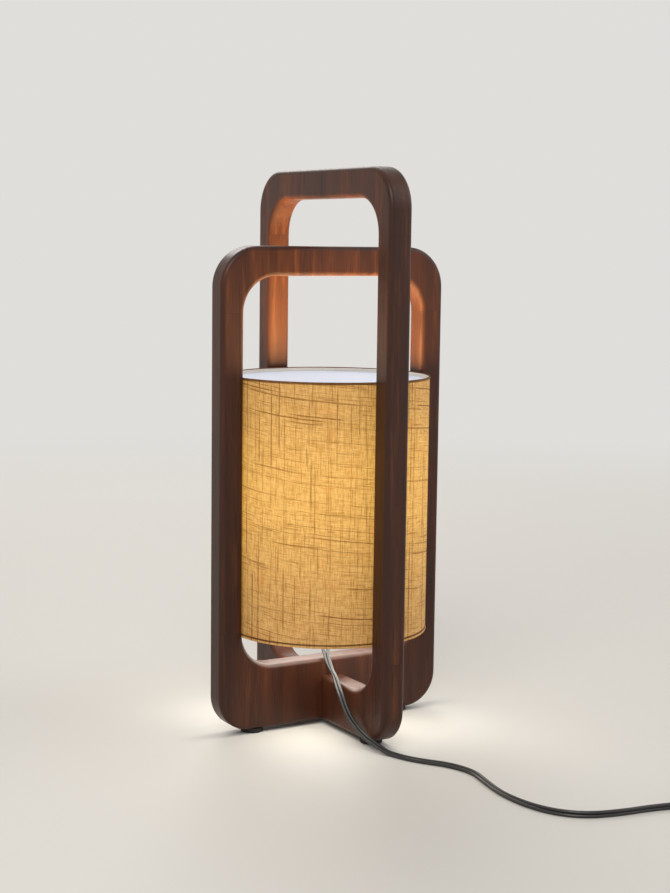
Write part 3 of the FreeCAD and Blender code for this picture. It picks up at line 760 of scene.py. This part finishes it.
def tieStrap():
    # section: |x / half| and |z / half|, each to the power of the squareness, add up to 1; width along Y
    turn = np.linspace(0, 2 * math.pi, tie["steps"], endpoint=False)
    circle = np.stack([np.cos(turn), np.sin(turn)], -1)
    section = np.sign(circle) * np.abs(circle) ** (2 / tie["squareness"])
    edge = tie["width"] / 2
    rows = []
    for y, wall in ((-edge, 0.0), (-edge, tie["wall"]), (edge, tie["wall"]), (edge, 0.0)):
        x, z = (section * (np.array(tie["half"]) + wall) + np.array(tie["middle"])).T
        rows.append(np.stack([x, np.full(len(turn), cord["coilCentre"][1] + y), z], -1))
    made = gridPiece("coilStrap", np.array(rows), plainFinish("strapBlack"), "lamp", closeRows=True)
    made.data.polygons.foreach_set("use_smooth", np.zeros(len(made.data.polygons), bool))
    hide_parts("coil_tie")
    return made


flex, flexLine = twinCord()
strap = tieStrap()
print("cord made")


# Floor, lamps and camera
studio = {
    "pale": linear(224, 222, 218),
    "floor": linear(214, 210, 202),
    "floorReach": 6,
    "floorLines": 13,
    # from here to there, as distances from the lamp, the floor fades into the surroundings
    "fade": (0.75, 2.4),
    "sky": linear(236, 236, 238),
    "skyStrength": 0.5,
    # name, place, what it faces, size, power, colour, seen in gloss or not
    "lamps": [
        ("key", (-1.6, -1.8, 2.2), (0, 0, 0.22), 1.8, 42, (1.0, 0.97, 0.93), True),
        ("fill", (1.9, -1.2, 1.5), (0, 0, 0.22), 2.2, 18, (0.95, 0.97, 1.0), True),
        ("back", (0.6, 2.0, 1.9), (0, 0, 0.22), 1.6, 24, (1.0, 0.98, 0.95), True),
        # what the bulb sends out of the shade's two openings; above, light and its glints are apart
        ("shadeAbove", (0, 0, 0.3195), (0, 0, 1.0), 0.15, 2.0, (1.0, 0.80, 0.36), False),
        ("shadeGlint", (0, 0, 0.3195), (0, 0, 1.0), 0.15, 1.1, (1.0, 0.84, 0.50), True),
        ("shadeBelow", (0, 0, 0.0875), (0, 0, -1.0), 0.15, 0.31, (1.0, 0.95, 0.84), True),
    ],
}


def floorPaint():
    # pale paint near the lamp that fades with distance into the colour of the surroundings
    board = Board("paleFloor")
    x, y = board.split(board.place())[:2]
    away = (x * x + y * y).maths("SQRT")
    cloud = board.noise(board.place(), 2.5, 3)
    board.finish(
        Base_Color=board.blend(cloud * 0.3, studio["floor"], studio["pale"]),
        Roughness=0.55 + cloud * 0.1,
    )
    far = board.node("ShaderNodeEmission", sockets={"Color": studio["pale"]})
    near = Signal(board, board.shader.outputs[0])
    faded = board.node("ShaderNodeMixShader", sockets={0: away.step(*studio["fade"]), 1: near, 2: far})
    board.plug(board.tree.nodes["Material Output"].inputs[0], faded)
    return board.material


def buildWorld():
    # soft light on the object; camera, glossy and transmission rays see the pale surroundings
    world = bpy.data.worlds.new("studioWorld")
    world.use_nodes = True
    tree = world.node_tree
    soft = tree.nodes["Background"]
    soft.inputs["Color"].default_value = studio["sky"]
    soft.inputs["Strength"].default_value = studio["skyStrength"]
    seen = tree.nodes.new("ShaderNodeBackground")
    seen.inputs["Color"].default_value = studio["pale"]
    path = tree.nodes.new("ShaderNodeLightPath")
    either = path.outputs["Is Camera Ray"]
    for name in ("Is Glossy Ray", "Is Transmission Ray"):
        most = tree.nodes.new("ShaderNodeMath")
        most.operation = "MAXIMUM"
        tree.links.new(either, most.inputs[0])
        tree.links.new(path.outputs[name], most.inputs[1])
        either = most.outputs[0]
    mixer = tree.nodes.new("ShaderNodeMixShader")
    tree.links.new(either, mixer.inputs[0])
    tree.links.new(soft.outputs[0], mixer.inputs[1])
    tree.links.new(seen.outputs[0], mixer.inputs[2])
    tree.links.new(mixer.outputs[0], tree.nodes["World Output"].inputs[0])
    bpy.context.scene.world = world


def buildFloor():
    # a flat square grid under the lamp
    side = np.linspace(-studio["floorReach"], studio["floorReach"], studio["floorLines"])
    x, y = np.meshgrid(side, side, indexing="xy")
    points = np.stack([x, y, np.zeros(x.shape)], -1)
    gridPiece("floor", points, floorPaint(), None, closeColumns=False)


def buildLamps():
    for name, place, target, size, power, colour, glossy in studio["lamps"]:
        lamp = bpy.data.lights.new(name, "AREA")
        lamp.shape = "DISK"
        lamp.size, lamp.energy, lamp.color = size, power, colour
        holder = bpy.data.objects.new(name, lamp)
        holder.location = place
        holder.rotation_euler = (Vector(target) - Vector(place)).to_track_quat("-Z", "Y").to_euler()
        holder.visible_camera = False
        holder.visible_glossy = glossy
        bpy.context.scene.collection.objects.link(holder)


def buildCamera():
    data = bpy.data.cameras.new("camera")
    data.sensor_width = camera["sensor"]
    data.lens = camera["lens"]
    data.clip_start, data.clip_end = camera["clip"]
    holder = bpy.data.objects.new("camera", data)
    axes = Matrix((camera["right"], camera["up"], [-v for v in camera["forward"]])).transposed()
    holder.matrix_world = Matrix.Translation(camera["place"]) @ axes.to_4x4()
    bpy.context.scene.collection.objects.link(holder)
    bpy.context.scene.camera = holder


buildFloor()
buildWorld()
buildLamps()
buildCamera()
bpy.context.scene.view_settings.view_transform = "Standard"
print("studio and camera made")
